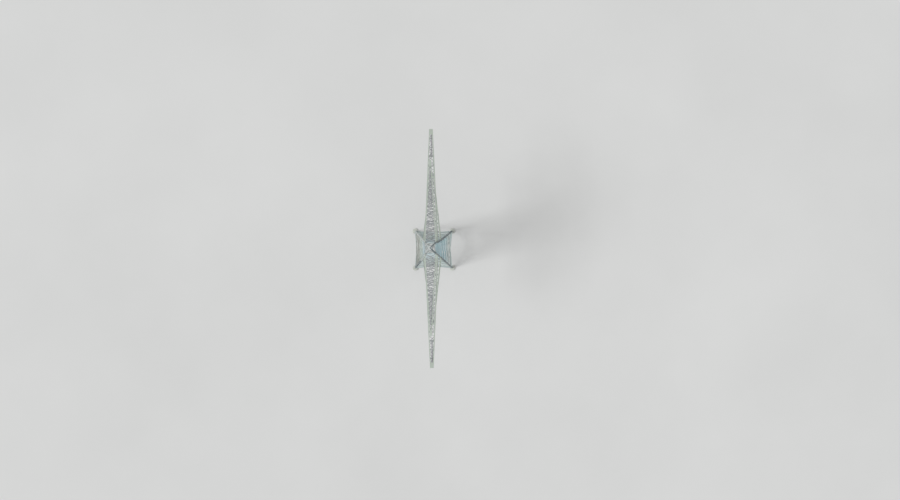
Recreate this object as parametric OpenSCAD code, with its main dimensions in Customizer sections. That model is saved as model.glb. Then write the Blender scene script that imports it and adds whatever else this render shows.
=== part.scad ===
// Lattice transmission pylon, a half-size model of a tower 47 m tall.
// Lengths are in millimetres. +Z is up, X runs along the line and Y along the crossarms.
// The origin is on the ground, at the middle of the four footings.

/* [Body] */
// Spread of the leg corners at the ground
base_w = 3700; // [3500:50:3900]
// Spread of the leg corners at the lowest crossarm
waist_w = 1400; // [1300:50:1500]
// Spread of the leg corners at the middle crossarm
mid_w = 924; // [880:4:960]
// Spread of the leg corners at the top crossarm
top_w = 730; // [700:5:760]
// Spread of the bars at the very top of the peak
peak_w = 120; // [100:10:140]
// Height of the lowest crossarm
waist_z = 13250; // [13000:50:13500]
// Height of the middle crossarm
mid_z = 17750; // [17500:50:18000]
// Height of the top crossarm
top_z = 22000; // [21800:50:22200]
// Height of the peak
peak_z = 23500; // [23400:50:23700]

/* [Footings] */
// Width of a round concrete cap
footing_d = 480; // [440:10:520]
// Height of a cap above the ground
footing_h = 220; // [180:10:260]
// Depth of a leg in its cap
stub_depth = 120; // [80:10:150]

/* [Bars] */
// Flange of the leg angles below the waist
leg_a = 100; // [90:5:110]
// Thickness of the leg angles below the waist
leg_t = 10; // [8:1:12]
// Flange of the leg angles above the waist
upper_leg_a = 80; // [70:5:90]
// Thickness of the leg angles above the waist
upper_leg_t = 8; // [6:1:10]
// Flange of the main diagonals and horizontals
brace_a = 50; // [40:5:60]
// Flange of the light bars
light_a = 32; // [25:1:40]
// Thickness of plates and bracing bars
plate_t = 5; // [4:1:6]

/* [Crossarms] */
// Reach of the middle crossarm from the tower's centre
mid_reach = 8075; // [8000:25:8150]
// Reach of the lowest crossarm from the tower's centre
low_reach = 5700; // [5600:25:5800]
// Reach of the top crossarm from the tower's centre
top_reach = 5350; // [5250:25:5450]
// Depth of the middle crossarm at the body
mid_depth = 1700; // [1600:50:1800]
// Depth of the lowest crossarm at the body
low_depth = 1125; // [1050:25:1200]
// Depth of the top crossarm at the body
top_depth = 750; // [700:25:900]
// Half the width of a blunt crossarm tip
tip_half = 125; // [110:5:140]
// Flange of the crossarm chords
chord_a = 60; // [50:5:65]
// Thickness of the crossarm chords
chord_t = 6; // [5:1:7]
// Flange of the top crossarm's chords
light_chord_a = 45; // [40:5:50]
// Thickness of the top crossarm's chords
light_chord_t = 5; // [4:1:6]

/* [Insulators] */
// Distance from the centre to the outer conductors
outer_y = 7150; // [7100:10:7200]
// Distance from the centre to the inner conductors
inner_y = 4050; // [4000:10:4100]
// Half the spread of a V of two strings at the crossarm
v_half = 900; // [850:10:950]
// Drop from the crossarm to the yoke plate
string_drop = 1950; // [1900:10:2000]
// Discs in one string
discs = 22; // [20:1:24]
// Height of one disc unit
disc_h = 73; // [70:1:76]
// Radius of one disc
disc_r = 64; // [60:1:68]
// Spacing of the twin conductors
twin = 200; // [190:10:210]
// Radius of the groove for a conductor
wire_r = 7.75; // [7:0.25:9]

/* [Hidden] */

steel = "lightslategray";
zinc = "silver";
concrete = "lightgray";
glazed = "darkgray";

// How far a bar bites into the plate or bar that it is fused to
bite = 1;
gap = 8;

// Flange of the bracing between the crossarms
neck_a = 40;

// The plates at the tip of a crossarm
tip_t = 8;
tip_cover = 380;

// Pins that the strings hang from, and the cheeks on either side of them
pin_r = 6;
link_t = 16;
cheek_t = 6;
cheek_w = 26;

// Flange of the crossbars that strings hang from
beam_a = 60;

// Width and height of the gusset plates at the feet, in the body and between the crossarms
foot_gusset = [200, 260];
body_gusset = [190, 300];
neck_gusset = [130, 200];

// How far inside an arm's reach its last string or clamp hangs
tip_in = 60;

// The ears that the clamps hang from, the straps on either side of them, and how far
// a wire is below the pin
ear_t = 10;
strap_half = 12;
clamp_drop = 68;

// How far below a yoke's middle the clamps' pins are
yoke_drop = 62;

// How far below its crossarm a string's or a clamp's pin is
pin_drop = 20;
peak_pin = 54;

// Half the width of the plate where the two struts of the bottom panel meet
joint_w = 170;

// The storeys of the body: lower and upper height, half the width at each
lower_storey = [0, waist_z, base_w / 2, waist_w / 2];
middle_storey = [waist_z, mid_z, waist_w / 2, mid_w / 2];
upper_storey = [mid_z, top_z, mid_w / 2, top_w / 2];
head_z = top_z + top_depth;
head_storey = [top_z, head_z, top_w / 2, half_w(upper_storey, head_z)];
peak_storey = [head_z, peak_z, head_storey[3], peak_w / 2];

// Where the main panels of the body meet
foot_z = footing_h + 160;
portal_z = 2950;
body_levels = [portal_z, 6300, 8900, 11150, waist_z];
middle_levels = [waist_z, waist_z + low_depth, waist_z + 2250, waist_z + 3375, mid_z];
upper_levels = [mid_z, mid_z + mid_depth / 2, mid_z + mid_depth, top_z - 1700, top_z - 850, top_z, head_z];
peak_levels = [head_z, head_z + 250, peak_z - 250];

function unit(v) = v / norm(v);
function across(v, along) = unit(v - (v * along) * along);
function mix(a, b, t) = a + (b - a) * t;
function batter(s) = atan((s[2] - s[3]) / (s[1] - s[0]));
function half_w(s, z) = mix(s[2], s[3], (z - s[0]) / (s[1] - s[0]));
// A point of a side: x across, z above the ground
function side_pt(s, x, z) = [x, (z - s[0]) / cos(batter(s))];

// Puts its children on a side of a storey: x across, y up the slope, z outwards
module on_side(side, s) {
    rotate([0, 0, 90 * side])
        translate([0, -s[2], s[0]])
            rotate([90 - batter(s), 0, 0])
                children();
}

// An angle bar with its corner on the line p to q and its flanges towards d1 and d2
module angle_bar(p, q, d1, d2, a, t) {
    ez = unit(q - p);
    ex = across(d1, ez);
    ey = cross(ez, ex);
    e2 = across(d2, ez);
    c = [e2 * ex, e2 * ey];
    f = [1, 0];
    multmatrix([
        [ex.x, ey.x, ez.x, p.x],
        [ex.y, ey.y, ez.y, p.y],
        [ex.z, ey.z, ez.z, p.z],
        [0, 0, 0, 1]
    ])
        linear_extrude(norm(q - p))
            polygon([[0, 0], a * f, a * f + t * c, t * f + t * c, a * c + t * f, a * c]);
}

// A bracing bar in the plane of a side, from p to q. Its flat flange starts at
// height z and its lip stands towards up, 1 outwards or -1 inwards
module lattice_bar(p, q, a, z, up) {
    turn = atan2(q.y - p.y, q.x - p.x);
    t = plate_t;
    translate([p.x, p.y, z])
        rotate([0, 0, turn])
            rotate([90, 0, 90])
                linear_extrude(norm(q - p))
                    polygon([
                        [-a / 2, 0], [a / 2, 0], [a / 2, up * t],
                        [t - a / 2, up * t], [t - a / 2, up * a], [-a / 2, up * a]
                    ]);
}

// The three layers of bars against a flange of thickness t
module back_bar(p, q, a, t) {
    lattice_bar(p, q, a, -(t + plate_t - bite), -1);
}
module front_bar(p, q, a, t) {
    lattice_bar(p, q, a, -(t + bite), 1);
}
module plate_bar(p, q, a, t) {
    lattice_bar(p, q, a, -t, -1);
}

// A plate in the gusset layer, given by its outline
module plate(points, t) {
    translate([0, 0, -t - plate_t])
        linear_extrude(plate_t)
            polygon(points);
}

// A gusset plate behind the leg at side h, 1 or -1, with the leg's edge at x
module leg_gusset(s, z, h, a, t, size) {
    w = size.x;
    l = size.y;
    p = side_pt(s, h * (half_w(s, z) - a * 0.35), z);
    plate([
        p + [0, -l / 2], p + [0, l / 2], p + [-h * w * 0.5, l / 2],
        p + [-h * w, l * 0.2], p + [-h * w, -l * 0.2], p + [-h * w * 0.5, -l / 2]
    ], t);
}

module diamond_plate(p, w, t) {
    plate([p + [w / 2, 0], p + [0, w / 2], p + [-w / 2, 0], p + [0, -w / 2]], t);
}

// How much of a bar is cut off so that its end, a wide, stands clear of an edge:
// an upright edge, or a level one
function off_upright(d, a, edge) = (edge + gap + a / 2 * abs(d.y) / norm(d)) / abs(d.x);
function off_level(d, a, edge) = (edge + gap + a / 2 * abs(d.x) / norm(d)) / abs(d.y);

// One panel of crossed diagonals between two heights, one before and one behind the plates
module x_panel(s, z0, z1, leg, t, a) {
    in0 = half_w(s, z0) - leg / 2;
    in1 = half_w(s, z1) - leg / 2;
    bl = side_pt(s, -in0, z0);
    br = side_pt(s, in0, z0);
    tl = side_pt(s, -in1, z1);
    tr = side_pt(s, in1, z1);
    cut_front = off_upright(tr - bl, a, leg / 2);
    cut_back = off_level(tl - br, a, a / 2);
    front_bar(mix(bl, tr, cut_front), mix(bl, tr, 1 - cut_front), a, t);
    back_bar(mix(br, tl, cut_back), mix(br, tl, 1 - cut_back), a, t);
    diamond_plate(mix(bl, tr, in0 / (in0 + in1)), a * 2.2, t);
}

// Light bars that prop the diagonals of a large panel against the legs and horizontals.
// No two of them meet, because each has its own place on the diagonal
module panel_props(s, z0, z1, leg, t) {
    in0 = half_w(s, z0) - leg / 2;
    in1 = half_w(s, z1) - leg / 2;
    zc = mix(z0, z1, in0 / (in0 + in1));
    c = side_pt(s, 0, zc);
    for (h = [-1, 1])
        for (end = [[z0, in0, 1, joint_w + gap + light_a], [z1, in1, -1, gap + light_a / 2]]) {
            corner = side_pt(s, h * end[1], end[0]);
            step = 0.13;
            near_z = mix(end[0], zc, 0.5 - step);
            far_z = zc - end[2] * (light_a / 2 + gap);
            near = side_pt(s, h * (half_w(s, near_z) - leg / 2), near_z);
            far = side_pt(s, h * (half_w(s, far_z) - leg / 2), far_z);
            plate_bar(mix(corner, c, 0.5 - step), near, light_a, t);
            plate_bar(mix(corner, c, 0.5 + step), far, light_a, t);
            plate_bar(mix(corner, c, 0.5), side_pt(s, h * end[3], end[0]), light_a, t);
        }
}

// The bottom panel: a pair of struts from the feet to the first horizontal, propped to
// the legs. They rest on the plate in the middle of that horizontal
module portal(s, z1) {
    z0 = foot_z;
    in0 = half_w(s, z0) - leg_a / 2;
    top = side_pt(s, 0, z1);
    for (h = [-1, 1]) {
        foot = side_pt(s, h * in0, z0);
        d = top - foot;
        cut = max(off_upright(d, brace_a, 0), off_level(d, brace_a, brace_a / 2));
        back_bar(foot, mix(foot, top, 1 - cut), brace_a, leg_t);
        for (i = [1 : 3]) {
            z = mix(z0, z1, i / 4);
            zn = mix(z0, z1, (i + 0.65) / 4);
            plate_bar(mix(foot, top, i / 4), side_pt(s, h * (half_w(s, z) - leg_a / 2), z), light_a, leg_t);
            plate_bar(
                mix(foot, top, (i + 0.2) / 4), side_pt(s, h * (half_w(s, zn) - leg_a / 2), zn), light_a, leg_t
            );
        }
    }
}

// The struts of the bottom panel on all four sides
module portal_bracing() {
    color(steel)
        for (side = [0 : 3])
            on_side(side, lower_storey)
                portal(lower_storey, portal_z);
}

// The plate under a horizontal that the two struts of a bottom panel meet on. It is
// thinner there, so that they lie flat against it
module portal_joint(s, z) {
    foot = -150;
    rim = -brace_a / 2 - gap / 2;
    top = 34;
    back = -leg_t - plate_t;
    translate([-joint_w, side_pt(s, 0, z).y, 0])
        rotate([90, 0, 90])
            linear_extrude(2 * joint_w)
                polygon([
                    [foot, -leg_t], [top, -leg_t], [top, back],
                    [rim, back], [rim, back + bite], [foot, back + bite]
                ]);
}

module horizontal(s, z, leg, a, t) {
    w = half_w(s, z) - leg * 0.3;
    back_bar(side_pt(s, -w, z), side_pt(s, w, z), a, t);
}

// One side of the body below the lowest crossarm
module body_side(side) {
    s = lower_storey;
    color(steel)
        on_side(side, s) {
            portal_joint(s, portal_z);
            for (i = [0 : len(body_levels) - 1]) {
                horizontal(s, body_levels[i], leg_a, brace_a, leg_t);
                for (h = [-1, 1])
                    leg_gusset(s, body_levels[i], h, leg_a, leg_t, body_gusset);
            }
            for (i = [0 : len(body_levels) - 2]) {
                x_panel(s, body_levels[i], body_levels[i + 1], leg_a, leg_t, brace_a);
                panel_props(s, body_levels[i], body_levels[i + 1], leg_a, leg_t);
            }
        }
}

// One side of the slim body between the crossarms
module neck_side(side) {
    color(steel)
        for (part = [[middle_storey, middle_levels, [1, 4]], [upper_storey, upper_levels, [2, 5, 6]]])
            on_side(side, part[0]) {
                s = part[0];
                levels = part[1];
                for (i = [0 : len(levels) - 2])
                    x_panel(s, levels[i], levels[i + 1], upper_leg_a, upper_leg_t, neck_a);
                for (i = [0 : len(levels) - 1])
                    for (h = [-1, 1])
                        leg_gusset(s, levels[i], h, upper_leg_a, upper_leg_t, neck_gusset);
                for (i = part[2])
                    horizontal(s, levels[i], upper_leg_a, neck_a, upper_leg_t);
            }
}

// The north-east leg, from its stub in the concrete to the top crossarm
module leg_bars() {
    z0 = footing_h - stub_depth;
    w0 = half_w(lower_storey, z0);
    over = 12;
    corner = [[w0, z0], [waist_w / 2, waist_z], [mid_w / 2, mid_z], [head_storey[3], head_z]];
    sizes = [[leg_a, leg_t], [upper_leg_a, upper_leg_t], [upper_leg_a, upper_leg_t]];
    for (i = [0 : 2]) {
        p = [corner[i][0], corner[i][0], corner[i][1]];
        q = [corner[i + 1][0], corner[i + 1][0], corner[i + 1][1]];
        more = i < 2 ? over * unit(q - p) : [0, 0, 0];
        angle_bar(p, q + more, [-1, 0, 0], [0, -1, 0], sizes[i][0], sizes[i][1]);
    }
}

// A leg with the two gusset plates at its foot that the bottom panels' struts meet
module leg(turn) {
    color(zinc)
        rotate([0, 0, turn]) {
            leg_bars();
            for (k = [1, 2])
                on_side(k, lower_storey)
                    leg_gusset(lower_storey, foot_z, 3 - 2 * k, leg_a, leg_t - bite, foot_gusset);
        }
}

module footing(turn) {
    w = base_w / 2 - leg_a / 2;
    color(concrete)
        rotate([0, 0, turn])
            difference() {
                translate([w, w, 0]) {
                    cylinder(h = footing_h - 40, d = footing_d);
                    translate([0, 0, footing_h - 41])
                        cylinder(h = 41, d1 = footing_d, d2 = footing_d - 120);
                }
                leg_bars();
            }
}

// Level frames that keep the body square, seated on the lips of the horizontals
module plan_frames() {
    color(steel)
        for (level = [
            [lower_storey, portal_z, brace_a], [lower_storey, waist_z, brace_a],
            [upper_storey, mid_z, neck_a], [upper_storey, top_z, neck_a]
        ]) {
            a = level[2];
            w = half_w(level[0], level[1]) - a - gap / 2;
            translate([0, 0, level[1]])
                for (k = [0 : 3])
                    rotate([0, 0, 90 * k])
                        lattice_bar([w, 0], [0, w], light_a, -a / 2, 1);
        }
}

// The pyramid above the top crossarm
module peak() {
    s = peak_storey;
    t = chord_t;
    color(steel) {
        for (k = [0 : 3])
            rotate([0, 0, 90 * k])
                angle_bar([s[2], s[2], s[0]], [s[3], s[3], s[1] - 20], [-1, 0, 0], [0, -1, 0], chord_a, t);
        for (side = [0 : 3])
            on_side(side, s) {
                for (i = [0 : len(peak_levels) - 2]) {
                    z0 = peak_levels[i];
                    z1 = peak_levels[i + 1];
                    up = i % 2 == 0 ? 1 : -1;
                    w0 = half_w(s, z0) - chord_a * 0.75;
                    w1 = half_w(s, z1) - chord_a * 0.75;
                    plate_bar(side_pt(s, -up * w0, z0), side_pt(s, up * w1, z1), light_a, t - bite);
                    plate_bar(side_pt(s, -w1, z1), side_pt(s, w1, z1), light_a, t - bite);
                }
            }
        translate([-peak_w / 2 - 20, -peak_w / 2 - 20, peak_z - 30])
            cube([peak_w + 40, peak_w + 40, 10]);
        translate([0, 0, peak_z - peak_pin])
            ear(peak_pin - 25);
    }
}

// Steps from p to q in n equal panels, without the first point
function steps(p, q, n) = [for (i = [1 : n]) mix(p, q, i / n)];

// The panel points of each crossarm, as distances from the tower's centre. The
// strings of the middle crossarm hang from panel points
mid_panels = concat(
    [mid_w / 2], steps(mid_w / 2, inner_y - v_half, 4), steps(inner_y - v_half, inner_y + v_half, 3),
    steps(inner_y + v_half, outer_y - v_half, 2), steps(outer_y - v_half, outer_y + v_half, 3)
);
low_panels = concat([waist_w / 2], steps(waist_w / 2, low_reach - tip_in, 8));
top_panels = concat([top_w / 2], steps(top_w / 2, top_reach - tip_in, 9));

// A crossarm is given by: storey of its roots, height, depth at the body, reach,
// half the tip's width, depth at the tip, panel points, flange and thickness of its chords
middle_arm = [upper_storey, mid_z, mid_depth, mid_reach, tip_half, 150, mid_panels, chord_a, chord_t];
lower_arm = [middle_storey, waist_z, low_depth, low_reach, tip_half, 150, low_panels, chord_a, chord_t];
top_arm = [head_storey, top_z, top_depth, top_reach, 60, 100, top_panels, light_chord_a, light_chord_t];

// Where the strings of the middle crossarm hang
mid_hangers = [for (y = [inner_y, outer_y]) for (h = [-1, 1]) y + h * v_half];

function arm_root(m) = let (w = half_w(m[0], m[1])) [w, w, m[1]];
function arm_top_root(m) = let (w = half_w(m[0], m[1] + m[2])) [w, w, m[1] + m[2]];
function arm_tip(m) = [m[4], m[3], m[1]];
function arm_top_tip(m) = arm_tip(m) + (arm_top_root(m) - arm_root(m)) * m[5] / m[2];
// How far along the lower chord a distance from the tower's centre lies, 0 to 1
function along(m, y) = (y - arm_root(m).y) / (m[3] - arm_root(m).y);

// Puts its children on the plane through o, with x along u and y towards v
module on_plane(o, u, v) {
    ex = unit(u);
    ez = unit(cross(u, v));
    ey = cross(ez, ex);
    multmatrix([
        [ex.x, ey.x, ez.x, o.x],
        [ex.y, ey.y, ez.y, o.y],
        [ex.z, ey.z, ez.z, o.z],
        [0, 0, 0, 1]
    ])
        children();
}

// The same point seen in that plane
function in_plane(p, o, u, v) =
    let (ex = unit(u), ey = cross(unit(cross(u, v)), ex)) [(p - o) * ex, (p - o) * ey];

// The east truss of an arm that points north: two chords and a zigzag of bars
// between them, whose ends stand clear of each other
module truss(m) {
    a = m[7];
    t = m[8];
    rb = arm_root(m);
    u = arm_tip(m) - rb;
    v = arm_top_root(m) - rb;
    inset = a / 2;
    b0 = in_plane(rb, rb, u, v) + [0, inset];
    b1 = in_plane(arm_tip(m), rb, u, v) + [0, inset];
    t0 = in_plane(arm_top_root(m), rb, u, v) - [0, inset];
    t1 = in_plane(arm_top_tip(m), rb, u, v) - [0, inset];
    ys = m[6];
    angle_bar(rb, arm_tip(m), v, [-1, 0, 0], a, t);
    angle_bar(arm_top_root(m), arm_top_tip(m), -v, [-1, 0, 0], a, t);
    on_plane(rb, u, v)
        for (i = [0 : len(ys) - 2]) {
            k = along(m, ys[i]);
            kn = along(m, ys[i + 1]);
            low = i % 2 == 1;
            p = low ? mix(b0, b1, k) : mix(t0, t1, k);
            q = low ? mix(t0, t1, kn) : mix(b0, b1, kn);
            far = mix(t0, t1, kn);
            near = mix(b0, b1, kn);
            off = [light_a * 0.8, 0];
            if (abs(q.y - p.y) > 0.3 * (q.x - p.x))
                plate_bar(p + off, q - off, light_a, t - bite);
            else if (norm(far - near) > light_a)
                plate_bar(near - [40, 0], far - [40, 0], light_a, t - bite);
        }
}

// The lacing between the two trusses, along the lower chords or the upper ones: a
// crossbar at each panel point and two diagonals a panel. Where a string hangs the
// crossbar is a heavier one
module laced_face(m, top, hangers) {
    r = top ? arm_top_root(m) : arm_root(m);
    e = top ? arm_top_tip(m) : arm_tip(m);
    v = [0, e.y - r.y, e.z - r.z];
    l = norm(v);
    t = m[8];
    ys = m[6];
    w0 = r.x - m[7] / 2;
    w1 = e.x - m[7] / 2;
    off = [0, light_a / 2];
    on_plane([0, r.y, r.z], [top ? 1 : -1, 0, 0], v)
        for (i = [0 : len(ys) - 2]) {
            k0 = along(m, ys[i]);
            k2 = along(m, ys[i + 1]);
            k1 = (k0 + k2) / 2;
            p = [mix(w0, w1, k0), l * k0];
            q = [-mix(w0, w1, k1), l * k1];
            o = [mix(w0, w1, k2), l * k2];
            heavy = len([for (y = hangers) if (abs(y - ys[i + 1]) < 1) y]) > 0;
            back_bar(p + off, q - off, light_a, t);
            back_bar(q + off, o - off, light_a, t);
            plate([for (c = [[-1, -1], [-1, 1], [1, 1], [1, -1]]) q + [c.x * m[7] * 0.45, c.y * light_a]], t);
            plate_bar([-o.x, o.y], o, heavy ? beam_a : light_a, t);
        }
}

// A pin along X
module pin(half) {
    rotate([0, 90, 0])
        translate([0, 0, -half])
            cylinder(h = 2 * half, r = pin_r, $fn = 32);
}

// Two cheeks below a crossbar, with the pin that a string hangs from
module cheeks(t) {
    foot = -pin_drop - 2 * pin_r;
    for (x = [link_t / 2, -link_t / 2 - cheek_t])
        translate([x, 0, 0])
            rotate([90, 0, 90])
                linear_extrude(cheek_t)
                    polygon([
                        [-cheek_w / 2, foot], [cheek_w / 2, foot], [cheek_w, -pin_drop / 2],
                        [cheek_w, t + 24], [-cheek_w, t + 24], [-cheek_w, -pin_drop / 2]
                    ]);
    translate([0, 0, -pin_drop])
        pin(link_t / 2 + 2 * cheek_t);
}

// The ear that a clamp's strap hangs from, with its pin at the origin
module ear(high) {
    translate([-ear_t / 2, 0, 0])
        rotate([90, 0, 90])
            linear_extrude(ear_t)
                polygon([[-9, -14], [9, -14], [16, 0], [16, high], [-16, high], [-16, 0]]);
    pin(strap_half + 6);
}

// The plates that close an arm's blunt tip: one upright, one on the upper chords
module tip_plates(m) {
    r = arm_top_root(m);
    e = arm_top_tip(m);
    v = [0, e.y - r.y, e.z - r.z];
    k = 1 - tip_cover / norm(v);
    w = mix(r.x, e.x, k);
    translate([-m[4], m[3], m[1]])
        cube([2 * m[4], tip_t, m[5]]);
    on_plane([0, r.y, r.z], [1, 0, 0], v)
        linear_extrude(plate_t)
            polygon([[-w, norm(v) * k], [w, norm(v) * k], [e.x, norm(v)], [-e.x, norm(v)]]);
}

// What lies on the tower's side of an arm's root
module behind_root(m) {
    s = m[0];
    size = 2000;
    rotate([0, 0, 180])
        translate([0, -s[2], s[0]])
            rotate([90 - batter(s), 0, 0])
                translate([-size, -size, -size])
                    cube([2 * size, 2 * size, size]);
}

// Turns an arm that points north to its own side of the tower, cut to meet the legs
module arm(m, south) {
    color(steel)
        rotate([0, 0, south ? 180 : 0])
            difference() {
                union()
                    children();
                behind_root(m);
            }
}

module east_truss(m, south) {
    arm(m, south)
        mirror([south ? 1 : 0, 0, 0])
            truss(m);
}

module west_truss(m, south) {
    arm(m, south)
        mirror([south ? 0 : 1, 0, 0])
            truss(m);
}

// hangers are the distances from the tower's centre at which strings hang
module lacing(m, south, hangers) {
    arm(m, south) {
        laced_face(m, false, hangers);
        laced_face(m, true, []);
        tip_plates(m);
        for (y = hangers)
            translate([0, y, m[1]])
                cheeks(m[8]);
    }
}

// The top crossarm carries a clamp at its tip and no string
module top_lacing(south) {
    m = top_arm;
    arm(m, south) {
        laced_face(m, false, []);
        laced_face(m, true, []);
        tip_plates(m);
        translate([0, top_reach - tip_in, top_z - pin_drop])
            ear(pin_drop + m[8] + 20);
    }
}

// One string of discs on its own axis, hanging down from the origin
module disc_string() {
    unit_pts = [
        [22, 0], [26, -6], [26, -24], [disc_r - 4, -38], [disc_r, -44],
        [disc_r - 2, -49], [28, -44], [9, -50]
    ];
    body = [for (i = [0 : discs - 1]) for (p = unit_pts) [p.x, p.y - i * disc_h]];
    rotate_extrude($fn = 32)
        polygon(concat([[0, 0]], body, [[9, -discs * disc_h], [0, -discs * disc_h]]));
}

// A flat link that hangs down from a pin, length l, with an eye round the pin
module link(l) {
    rotate([90, 0, 90])
        translate([0, 0, -link_t / 2])
            linear_extrude(link_t)
                difference() {
                    union() {
                        circle(r = 2.4 * pin_r, $fn = 32);
                        translate([-12, -l])
                            square([24, l]);
                    }
                    circle(r = pin_r, $fn = 32);
                }
}

// A string between a hanger and a yoke, with a link at each end
module string_between(p, q) {
    d = q - p;
    tilt = atan2(d.y, -d.z);
    span = norm(d);
    slack = span - discs * disc_h;
    translate(p)
        rotate([tilt, 0, 0]) {
            translate([0, 0, -slack * 0.6])
                disc_string();
            link(slack * 0.6 + 2);
            translate([0, 0, -span])
                mirror([0, 0, 1])
                    link(slack * 0.4 + 4);
        }
}

// A plate that the strings hang the conductors from
module yoke(y, z) {
    translate([5, y, z])
        rotate([90, 0, -90])
            linear_extrude(10)
                polygon([
                    [-60, 30], [60, 30], [twin / 2 + 25, -60],
                    [twin / 2, -80], [-twin / 2, -80], [-twin / 2 - 25, -60]
                ]);
    for (h = [-1, 1])
        translate([0, y + h * twin / 2, z - yoke_drop])
            pin(strap_half + 6);
}

module v_strings(y) {
    z = mid_z - string_drop;
    top = mid_z - pin_drop;
    color(glazed) {
        string_between([0, y - v_half, top], [0, y - 45, z]);
        string_between([0, y + v_half, top], [0, y + 45, z]);
        yoke(y, z);
    }
}

module single_string(y) {
    z = waist_z - string_drop;
    color(glazed) {
        string_between([0, y, waist_z - pin_drop], [0, y, z]);
        yoke(y, z);
    }
}

// A clamp with the groove for one conductor, its axis along X. It hangs from the pin at
// height z by a forked strap that is broad on the clamp
module clamp(y, z) {
    length = 150;
    axis = z - clamp_drop;
    foot = axis + wire_r * 1.6;
    slot = z - 24;
    crown = z + 12;
    translate([-length / 2, y, axis])
        rotate([0, 90, 0])
            difference() {
                cylinder(h = length, r = wire_r * 2.2, $fn = 48);
                translate([0, 0, -1])
                    cylinder(h = length + 2, r = wire_r, $fn = 48);
            }
    difference() {
        translate([0, y + 8, 0])
            rotate([90, 0, 0])
                linear_extrude(16)
                    polygon([
                        [-32, foot], [32, foot], [strap_half, foot + 14], [strap_half, crown],
                        [ear_t / 2, crown], [ear_t / 2, slot], [-ear_t / 2, slot],
                        [-ear_t / 2, crown], [-strap_half, crown], [-strap_half, foot + 14]
                    ]);
        translate([0, y, z])
            pin(strap_half + 1);
    }
}

module clamps_of_side(south) {
    color(zinc)
        rotate([0, 0, south ? 180 : 0])
            for (place = [[outer_y, mid_z], [inner_y, mid_z], [low_reach - tip_in, waist_z]])
                for (h = [-1, 1])
                    clamp(place[0] + h * twin / 2, place[1] - string_drop - yoke_drop);
}

module earth_wire_clamps() {
    color(zinc) {
        for (h = [-1, 1])
            clamp(h * (top_reach - tip_in), top_z - pin_drop);
        clamp(0, peak_z - peak_pin);
    }
}

footing(0);  // footing_ne
footing(90);  // footing_nw
footing(180);  // footing_sw
footing(270);  // footing_se
leg(0);  // leg_ne
leg(90);  // leg_nw
leg(180);  // leg_sw
leg(270);  // leg_se
portal_bracing();
body_side(0);  // body_side_south
body_side(1);  // body_side_east
body_side(2);  // body_side_north
body_side(3);  // body_side_west
neck_side(0);  // neck_side_south
neck_side(1);  // neck_side_east
neck_side(2);  // neck_side_north
neck_side(3);  // neck_side_west
plan_frames();
peak();
east_truss(top_arm, false);  // top_arm_north_east_truss
west_truss(top_arm, false);  // top_arm_north_west_truss
top_lacing(false);  // top_arm_north_lacing
east_truss(top_arm, true);  // top_arm_south_east_truss
west_truss(top_arm, true);  // top_arm_south_west_truss
top_lacing(true);  // top_arm_south_lacing
east_truss(middle_arm, false);  // middle_arm_north_east_truss
west_truss(middle_arm, false);  // middle_arm_north_west_truss
lacing(middle_arm, false, mid_hangers);  // middle_arm_north_lacing
east_truss(middle_arm, true);  // middle_arm_south_east_truss
west_truss(middle_arm, true);  // middle_arm_south_west_truss
lacing(middle_arm, true, mid_hangers);  // middle_arm_south_lacing
east_truss(lower_arm, false);  // lower_arm_north_east_truss
west_truss(lower_arm, false);  // lower_arm_north_west_truss
lacing(lower_arm, false, [low_reach - tip_in]);  // lower_arm_north_lacing
east_truss(lower_arm, true);  // lower_arm_south_east_truss
west_truss(lower_arm, true);  // lower_arm_south_west_truss
lacing(lower_arm, true, [low_reach - tip_in]);  // lower_arm_south_lacing
v_strings(outer_y);  // insulators_north_outer
v_strings(inner_y);  // insulators_north_inner
single_string(low_reach - tip_in);  // insulator_north_lower
v_strings(-outer_y);  // insulators_south_outer
v_strings(-inner_y);  // insulators_south_inner
single_string(tip_in - low_reach);  // insulator_south_lower
clamps_of_side(false);  // conductor_clamps_north
clamps_of_side(true);  // conductor_clamps_south
earth_wire_clamps();
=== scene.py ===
"""Lattice transmission pylon, half size, in weathered galvanised steel on concrete caps."""
import math

import bmesh
import bpy
from mathutils import Matrix, Vector


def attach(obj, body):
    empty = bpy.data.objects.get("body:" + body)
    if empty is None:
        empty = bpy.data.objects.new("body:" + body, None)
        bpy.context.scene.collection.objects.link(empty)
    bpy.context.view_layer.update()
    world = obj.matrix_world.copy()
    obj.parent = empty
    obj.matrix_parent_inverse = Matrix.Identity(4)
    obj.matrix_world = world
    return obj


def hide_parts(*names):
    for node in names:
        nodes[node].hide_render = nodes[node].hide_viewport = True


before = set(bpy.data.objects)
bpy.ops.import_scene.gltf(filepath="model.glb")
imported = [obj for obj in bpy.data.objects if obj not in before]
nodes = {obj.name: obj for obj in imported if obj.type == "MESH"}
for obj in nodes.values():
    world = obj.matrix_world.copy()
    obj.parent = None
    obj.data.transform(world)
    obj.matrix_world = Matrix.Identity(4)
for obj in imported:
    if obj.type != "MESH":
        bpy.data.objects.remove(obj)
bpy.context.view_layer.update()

# Camera, as the photograph was taken: high above the tower, looking down
CAMERA_PLACE = Vector((0.53, -0.245, 58.5))
FOCAL_PX = 600.0
FRAME_W_PX = 900.0
NADIR_PX = Vector((439.2, 252.0))
CENTRE_PX = Vector((450.0, 250.0))
ROLL = math.radians(-0.22)
SENSOR_MM = 36.0

# A soft sky, and a sun in the west, 55 degrees high, that throws the shadow to the east
SKY_STRENGTH = 0.62
SUN_STRENGTH = 1.6
SUN_SIZE_DEG = 14.0
SUN_TURN_DEG = (8.0, -34.0)
BACKDROP = (0.66, 0.67, 0.67, 1.0)
FLOOR_HALF = 250.0

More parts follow.
